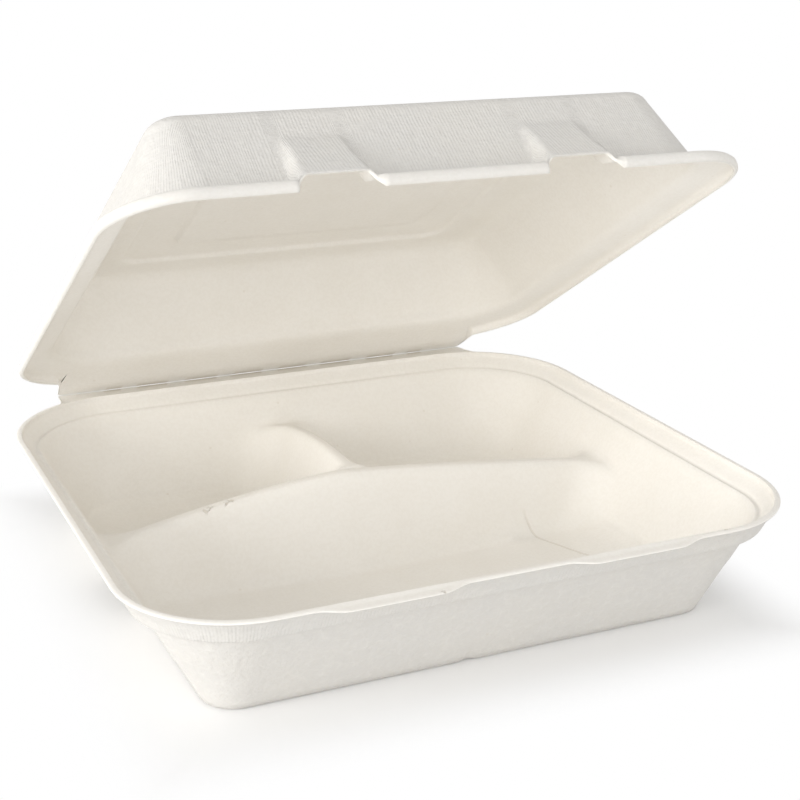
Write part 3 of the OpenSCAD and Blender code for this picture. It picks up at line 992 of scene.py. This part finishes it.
@dataclass(frozen=True)
class Studio:
    """Camera, floor and lamps."""

    camera_at: tuple[float, float, float] = (-0.2108, -0.4787, 0.2380)
    yaw: float = -0.4312
    pitch: float = 0.274
    roll: float = 0.01
    focal_px: float = 1554.07
    image_px: int = 800
    shift_up: float = -0.1
    low_sky: float = 1.03
    high_sky: float = 0.63
    left_share: float = 1.04
    right_share: float = 0.96

    def camera(self) -> None:
        """Place the camera at the photograph's viewing angle.

        The three angles and the focal length were fitted to the outlines of both rims.
        """
        yaw, pitch, roll = self.yaw, self.pitch, self.roll
        ahead = np.array([-math.sin(yaw) * math.cos(pitch), math.cos(yaw) * math.cos(pitch),
                          -math.sin(pitch)])
        right = np.array([math.cos(yaw), math.sin(yaw), 0.0])
        up = np.cross(right, ahead)
        right_rolled = math.cos(roll) * right + math.sin(roll) * up
        up_rolled = -math.sin(roll) * right + math.cos(roll) * up
        turn = Matrix([list(row) for row in np.stack([right_rolled, up_rolled, -ahead], axis=1)])
        data = bpy.data.cameras.new("photo_camera")
        data.sensor_width = 36.0
        data.lens = self.focal_px / self.image_px * data.sensor_width
        data.shift_y = self.shift_up
        data.clip_end = 20.0
        camera = bpy.data.objects.new("photo_camera", data)
        camera.matrix_world = Matrix.Translation(self.camera_at) @ turn.to_4x4()
        bpy.context.scene.collection.objects.link(camera)
        bpy.context.scene.camera = camera

    def floor(self) -> None:
        """Lay a wide pale floor that keeps the object's shadow."""
        size = 6.0
        mesh = bpy.data.meshes.new("floor")
        corners = [(-size, -size, 0), (size, -size, 0), (size, size, 0), (-size, size, 0)]
        mesh.from_pydata(corners, [], [(0, 1, 2, 3)])
        floor = bpy.data.objects.new("floor", mesh)
        bpy.context.scene.collection.objects.link(floor)
        material = bpy.data.materials.new("pale_floor")
        material.use_nodes = True
        graph = Graph(material.node_tree)
        shader = graph.nodes["Principled BSDF"]
        shader.inputs["Base Color"].default_value = (0.97, 0.97, 0.97, 1)
        shader.inputs["Roughness"].default_value = 0.9
        shader.inputs["Specular IOR Level"].default_value = 0.0
        place = graph.add("ShaderNodeTexCoord").outputs["Object"]
        split = graph.add("ShaderNodeSeparateXYZ")
        graph.link(place, split.inputs[0])
        away = graph.math("MAXIMUM", graph.math("ABSOLUTE", split.outputs[0], 0.0),
                          graph.math("ABSOLUTE", split.outputs[1], 0.0))
        fade = graph.remap(away, 0.092, 0.126, 0.0, 1.0)
        path = graph.add("ShaderNodeLightPath")
        seen = graph.math("MAXIMUM", path.outputs["Is Camera Ray"], path.outputs["Is Glossy Ray"])
        seen = graph.math("MAXIMUM", seen, path.outputs["Is Transmission Ray"])
        white = graph.add("ShaderNodeEmission")
        white.inputs["Color"].default_value = (1, 1, 1, 1)
        mix = graph.add("ShaderNodeMixShader")
        graph.link(graph.math("MULTIPLY", fade, seen), mix.inputs[0])
        graph.link(shader.outputs[0], mix.inputs[1])
        graph.link(white.outputs[0], mix.inputs[2])
        graph.link(mix.outputs[0], graph.nodes["Material Output"].inputs["Surface"])
        mesh.materials.append(material)

    def lamp(self, name: str, at: tuple[float, float, float], size: float, power: float) -> None:
        """Add one soft square lamp that faces the object.

        Args:
            name: name of the lamp.
            at: its place in metres.
            size: its width in metres.
            power: its power in watts.
        """
        data = bpy.data.lights.new(name, "AREA")
        data.shape = "SQUARE"
        data.size = size
        data.energy = power
        lamp = bpy.data.objects.new(name, data)
        aim = np.array(at) - np.array([0.0, 0.0, 0.06])
        z_axis = aim / np.linalg.norm(aim)
        x_axis = np.cross([0.0, 0.0, 1.0], z_axis)
        x_axis = x_axis / np.linalg.norm(x_axis)
        y_axis = np.cross(z_axis, x_axis)
        turn = Matrix([list(row) for row in np.stack([x_axis, y_axis, z_axis], axis=1)])
        lamp.matrix_world = Matrix.Translation(at) @ turn.to_4x4()
        bpy.context.scene.collection.objects.link(lamp)

    def light(self) -> None:
        """Set the lamps and a plain white surround."""
        world = bpy.data.worlds.new("surround")
        world.use_nodes = True
        graph = Graph(world.node_tree)
        background = graph.nodes["Background"]
        background.inputs["Color"].default_value = (1, 1, 1, 1)
        aim = graph.add("ShaderNodeSeparateXYZ")
        graph.link(graph.add("ShaderNodeTexCoord").outputs["Generated"], aim.inputs[0])
        upward = graph.remap(aim.outputs[2], 0.05, 0.8, self.low_sky, self.high_sky)
        sideways = graph.remap(aim.outputs[0], -0.9, 0.9, self.left_share, self.right_share)
        graph.link(graph.math("MULTIPLY", upward, sideways), background.inputs["Strength"])
        seen = graph.add("ShaderNodeBackground")
        seen.inputs["Color"].default_value = (1, 1, 1, 1)
        path = graph.add("ShaderNodeLightPath")
        either = graph.math("MAXIMUM", path.outputs["Is Camera Ray"],
                            path.outputs["Is Transmission Ray"])
        mix = graph.add("ShaderNodeMixShader")
        graph.link(either, mix.inputs[0])
        graph.link(background.outputs[0], mix.inputs[1])
        graph.link(seen.outputs[0], mix.inputs[2])
        graph.link(mix.outputs[0], graph.nodes["World Output"].inputs["Surface"])
        bpy.context.scene.world = world
        self.lamp("key_left", (-1.25, -0.2, 0.3), 0.6, 7.9)
        self.lamp("front_low", (-0.3, -1.2, 0.15), 0.7, 1.7)
        self.lamp("front_high", (-0.35, -1.0, 0.75), 0.9, 1.9)
        settings = bpy.context.scene.view_settings
        settings.view_transform = "Standard"


@dataclass(frozen=True)
class PulpFinish:
    """Finish of moulded sugarcane pulp.

    The inside was pressed by a polished tool and is smooth and creamy. The outside lay on
    the forming screen: it is rougher and printed with the screen's fine ribs. Both sides are
    one pulp: the inside's lighter tone is painted light and the outside's darker, greyer tone
    is painted shade.
    """

    name: str
    # Painted light and shade: the lighter inside tone and the darker outside tone stand in for how
    # light falls on each side of the one pulp.
    inside: tuple[float, float, float] = (0.93, 0.90, 0.845)
    outside: tuple[float, float, float] = (0.71, 0.69, 0.655)
    # Brown beside the slits: partly the cut fibre's own tone, partly painted shade of the slits'
    # walls.
    cut: tuple[float, float, float] = (0.50, 0.41, 0.27)
    speck: tuple[float, float, float] = (0.52, 0.42, 0.28)
    fibre: tuple[float, float, float] = (0.93, 0.91, 0.85)
    rib_pitch: float = 0.00115
    rib_depth: float = 0.00009
    grain_depth: float = 0.0003
    # Nicks and a pressed floor line: bumped in, and darkened with painted shade.
    nicks: tuple = (
        ((-0.0605, 0.0062, 0.0285), 0.0035), ((-0.0525, 0.0062, 0.029), 0.003),
        ((-0.0265, -0.1105, 0.0405), 0.0011), ((0.0620, -0.1105, 0.0405), 0.0011),
        ((0.0745, -0.1065, 0.0408), 0.002))
    pressed_line: tuple = ((0.061, -0.0026, 0.0), (0.077, -0.04, 0.0))

    def material(self) -> bpy.types.Material:
        """Build the node material.

        Returns:
            The material.
        """
        material = bpy.data.materials.new(self.name)
        material.use_nodes = True
        graph = Graph(material.node_tree)
        shader = graph.nodes["Principled BSDF"]
        place = graph.add("ShaderNodeTexCoord").outputs["Object"]
        screen = graph.attribute("screen_side")
        cut = graph.attribute("cut_edge")
        cloud = graph.noise(place, 42.0, 1.5, 0.6)
        grain = graph.noise(place, 820.0, 1.5, 0.65)
        curdle = graph.noise(place, 330.0, 1.0, 0.6)
        strands = graph.strands(place, 260.0)
        # Painted light and shade: the screen-side mask picks the darker outside tone over the
        # lighter inside tone.
        base = graph.mix(screen, self.inside, self.outside)
        base = graph.mix(graph.remap(cloud, 0.38, 0.68, 0.0, 0.10), base, (0.80, 0.75, 0.66))
        base = graph.mix(graph.remap(curdle, 0.5, 0.72, 0.0, 0.08), base, self.fibre)
        base = graph.mix(graph.remap(grain, 0.36, 0.62, 0.07, 0.0), base, (0.62, 0.56, 0.46))
        base = graph.mix(graph.remap(strands, 0.70, 0.82, 0.0, 0.07), base, self.fibre)
        dots = graph.specks(place, 95.0, 0.035)
        base = graph.mix(graph.math("MULTIPLY", dots, 0.14), base, self.speck)
        # Painted light: paler along the crease to lift the shade in its valley.
        crease_painted_light = graph.math("MULTIPLY", graph.attribute("crease"), 0.8)
        base = graph.mix(crease_painted_light, base, (0.97, 0.95, 0.90))
        # Browner beside the slits: cut-fibre tone and painted shade of their walls.
        base = graph.mix(graph.math("MULTIPLY", cut, 0.8), base, self.cut)
        marks = self.dents_and_painted_shade(graph, place)
        # Painted shade: the dents and the floor line are darkened towards the speck colour; the
        # bump below dents them in.
        base = graph.mix(graph.math("MULTIPLY", marks, 0.35), base, self.speck)
        graph.link(base, shader.inputs["Base Color"])
        rough = graph.remap(cloud, 0.3, 0.7, 0.6, 0.76)
        rougher = graph.math("ADD", rough, graph.math("MULTIPLY", screen, 0.12))
        graph.link(rougher, shader.inputs["Roughness"])
        shader.inputs["Specular IOR Level"].default_value = 0.35
        rough_share = graph.remap(screen, 0.0, 1.0, 0.18, 1.0)
        fine = graph.bump(graph.math("ADD", curdle, graph.math("MULTIPLY", grain, 0.5)),
                          self.grain_depth, None, rough_share)
        nicked = graph.bump(marks, -0.0005, fine)
        final = graph.bump(self.ribs(graph), self.rib_depth, nicked, graph.attribute("ribbed"))
        graph.link(final, shader.inputs["Normal"])
        return material

    def dents_and_painted_shade(self, graph: "Graph", place: bpy.types.NodeSocket) -> bpy.types.NodeSocket:
        """Mask of the nicks by the long crest and the tabs, and of a line pressed into the floor:
        dented in by the bump, and darkened with painted shade.

        Args:
            graph: node graph of the material.
            place: object coordinates.

        Returns:
            Strength of the marks, 0 to 1.
        """
        crumbs = graph.remap(graph.noise(place, 640.0, 1.0, 0.5), 0.52, 0.62, 0.0, 1.0)
        total: object = 0.0
        for spot, size in self.nicks:
            near = graph.remap(graph.distance(place, spot), size * 0.4, size, 1.0, 0.0)
            total = graph.math("MAXIMUM", total, graph.math("MULTIPLY", near, crumbs))
        start, end = (np.array(p) for p in self.pressed_line)
        along = (end - start) / np.linalg.norm(end - start)
        offset = graph.math("ABSOLUTE", graph.plane(place, (-along[1], along[0], 0.0), start))
        run = graph.plane(place, (along[0], along[1], 0.0), start)
        length = float(np.linalg.norm(end - start))
        line = graph.math("MULTIPLY", graph.remap(offset, 0.0002, 0.0007, 0.5, 0.0),
                          graph.remap(run, -0.004, 0.004, 0.0, 1.0))
        end_fade = graph.remap(run, length - 0.006, length + 0.004, 1.0, 0.0)
        line = graph.math("MULTIPLY", line, end_fade)
        low = graph.plane(place, (0.0, 0.0, 1.0), np.zeros(3))
        line = graph.math("MULTIPLY", line, graph.remap(low, 0.0008, 0.0011, 0.0, 1.0))
        line = graph.math("MULTIPLY", line, graph.remap(low, 0.009, 0.012, 1.0, 0.0))
        return graph.math("MAXIMUM", total, line)

    def ribs(self, graph: "Graph") -> bpy.types.NodeSocket:
        """Print of the forming screen: ribs along the section, broken up by a slow noise.

        Args:
            graph: node graph of the material.

        Returns:
            Heights from 0 to 1.
        """
        run = graph.add("ShaderNodeUVMap")
        run.uv_map = "run"
        parts = graph.add("ShaderNodeSeparateXYZ")
        graph.link(run.outputs[0], parts.inputs[0])
        turn = 2.0 * math.pi / self.rib_pitch
        place = graph.add("ShaderNodeTexCoord").outputs["Object"]
        waver = graph.noise(place, 240.0, 1.0, 0.5)
        shake = graph.math("MULTIPLY", waver, 3.0)
        across, down = (
            graph.math("SINE", graph.math("ADD", graph.math("MULTIPLY", part, pace), shake))
            for part, pace in ((parts.outputs[0], turn), (parts.outputs[1], turn * 0.8)))
        strength = graph.remap(waver, 0.3, 0.6, 0.45, 1.0)
        both = graph.math("ADD", graph.math("MULTIPLY", across, 0.36),
                          graph.math("MULTIPLY", down, 0.14))
        return graph.math("ADD", graph.math("MULTIPLY", both, strength), 0.5)


class Graph:
    """Short ways to add and join shader nodes."""

    def __init__(self, tree: bpy.types.NodeTree) -> None:
        """Keep the node tree that is built.

        Args:
            tree: the material's nodes.
        """
        self.tree = tree
        self.nodes = tree.nodes

    def add(self, kind: str) -> bpy.types.Node:
        """Add one node of a kind."""
        return self.nodes.new(kind)

    def link(self, source: object, target: bpy.types.NodeSocket) -> None:
        """Join a socket to an input, or set the input to a number or colour.

        Args:
            source: an output, a number, or a colour of three parts.
            target: the input that takes it.
        """
        if isinstance(source, bpy.types.NodeSocket):
            self.tree.links.new(source, target)
        elif isinstance(source, tuple):
            target.default_value = (*source, 1.0)
        else:
            target.default_value = source

    def math(self, operation: str, a: object, b: object = 0.0) -> bpy.types.NodeSocket:
        """Do one sum on two values.

        Args:
            operation: name of the sum.
            a: first value.
            b: second value, left out by sums of one value.

        Returns:
            The result.
        """
        node = self.add("ShaderNodeMath")
        node.operation = operation
        self.link(a, node.inputs[0])
        self.link(b, node.inputs[1])
        return node.outputs[0]

    def distance(self, place: object, spot: tuple[float, float, float]) -> bpy.types.NodeSocket:
        """Measure the distance from a place to a fixed spot.

        Args:
            place: object coordinates.
            spot: the fixed spot in metres.

        Returns:
            The distance in metres.
        """
        node = self.add("ShaderNodeVectorMath")
        node.operation = "DISTANCE"
        self.link(place, node.inputs[0])
        node.inputs[1].default_value = spot
        return node.outputs["Value"]

    def plane(self, place: object, normal: tuple, through: np.ndarray) -> bpy.types.NodeSocket:
        """Measure the signed distance from a plane.

        Args:
            place: object coordinates.
            normal: the plane's normal, of length 1.
            through: a point on the plane.

        Returns:
            The distance in metres, above zero on the normal's side.
        """
        node = self.add("ShaderNodeVectorMath")
        node.operation = "DOT_PRODUCT"
        self.link(place, node.inputs[0])
        node.inputs[1].default_value = normal
        return self.math("SUBTRACT", node.outputs["Value"], float(np.dot(normal, through)))

    def remap(self, value: object, low: float, high: float, start: float,
              end: float) -> bpy.types.NodeSocket:
        """Carry a value smoothly from one range to another, held at both ends.

        Args:
            value: the value.
            low: where the first range starts.
            high: where it ends.
            start: result at the low end.
            end: result at the high end.

        Returns:
            The new value.
        """
        node = self.add("ShaderNodeMapRange")
        node.interpolation_type = "SMOOTHSTEP"
        for socket, part in zip(node.inputs, (value, low, high, start, end)):
            self.link(part, socket)
        return node.outputs[0]

    def attribute(self, name: str) -> bpy.types.NodeSocket:
        """Read a value kept on the mesh.

        Args:
            name: name of the mesh's attribute.

        Returns:
            The value.
        """
        node = self.add("ShaderNodeAttribute")
        node.attribute_name = name
        return node.outputs["Fac"]

    def noise(self, place: object, scale: float, detail: float,
              rough: float) -> bpy.types.NodeSocket:
        """Add a cloudy noise.

        Args:
            place: object coordinates.
            scale: how many clouds there are in a metre.
            detail: how many finer layers are laid over the first.
            rough: weight of each finer layer.

        Returns:
            Values about 0.5.
        """
        node = self.add("ShaderNodeTexNoise")
        self.link(place, node.inputs["Vector"])
        for name, part in (("Scale", scale), ("Detail", detail), ("Roughness", rough)):
            node.inputs[name].default_value = part
        return node.outputs[0]

    def strands(self, place: object, scale: float) -> bpy.types.NodeSocket:
        """Draw thin curved strands, where a noise crosses its middle value.

        Args:
            place: object coordinates.
            scale: how many clouds there are in a metre.

        Returns:
            1 along a strand, falling off to both sides.
        """
        waves = self.noise(place, scale, 1.0, 0.4)
        ridge = self.math("ABSOLUTE", self.math("SUBTRACT", waves, 0.5))
        return self.math("SUBTRACT", 1.0, self.math("MULTIPLY", ridge, 9.0))

    def specks(self, place: object, scale: float, size: float) -> bpy.types.NodeSocket:
        """Scatter small dots, one in a part of the cells of a scattered pattern.

        Args:
            place: object coordinates.
            scale: how many cells there are in a metre.
            size: radius of a dot as a share of a cell.

        Returns:
            1 in a dot and 0 outside.
        """
        node = self.add("ShaderNodeTexVoronoi")
        self.link(place, node.inputs["Vector"])
        node.inputs["Scale"].default_value = scale
        near = self.remap(node.outputs["Distance"], size, size * 1.8, 1.0, 0.0)
        parts = self.add("ShaderNodeSeparateColor")
        self.link(node.outputs["Color"], parts.inputs[0])
        return self.math("MULTIPLY", near, self.math("GREATER_THAN", parts.outputs[0], 0.55))

    def mix(self, share: object, a: object, b: object) -> bpy.types.NodeSocket:
        """Mix two colours.

        Args:
            share: share of the second, 0 to 1.
            a: first colour.
            b: second colour.

        Returns:
            The mixed colour.
        """
        node = self.add("ShaderNodeMix")
        node.data_type = "RGBA"
        self.link(share, node.inputs[0])
        self.link(a, node.inputs[6])
        self.link(b, node.inputs[7])
        return node.outputs[2]

    def bump(self, height: object, depth: float, normal: object = None,
             share: object = 1.0) -> bpy.types.NodeSocket:
        """Tilt the surface by a height map.

        Args:
            height: the heights, 0 to 1.
            depth: height of 1, in metres.
            normal: an earlier tilt to add to.
            share: strength of this one.

        Returns:
            The tilted normal.
        """
        node = self.add("ShaderNodeBump")
        node.inputs["Distance"].default_value = depth
        self.link(share, node.inputs["Strength"])
        self.link(height, node.inputs["Height"])
        if normal is not None:
            self.link(normal, node.inputs["Normal"])
        return node.outputs[0]


def main() -> None:
    """Build the box, dress it and set the stage."""
    logging.basicConfig(level=logging.INFO)
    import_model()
    tray = Tray().build()
    lid = Lid().build()
    rows = ((tray, "base_tray", "tray", "tray_pulp"), (lid, "lid", "cover", "lid_pulp"))
    for piece, node, body, slot in rows:
        piece.data.materials.append(PulpFinish(slot).material())
        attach(piece, body)
        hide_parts(node)
        LOG.info("%s: %d faces", piece.name, len(piece.data.polygons))
    studio = Studio()
    studio.camera()
    studio.floor()
    studio.light()


if __name__ == "__main__":
    main()
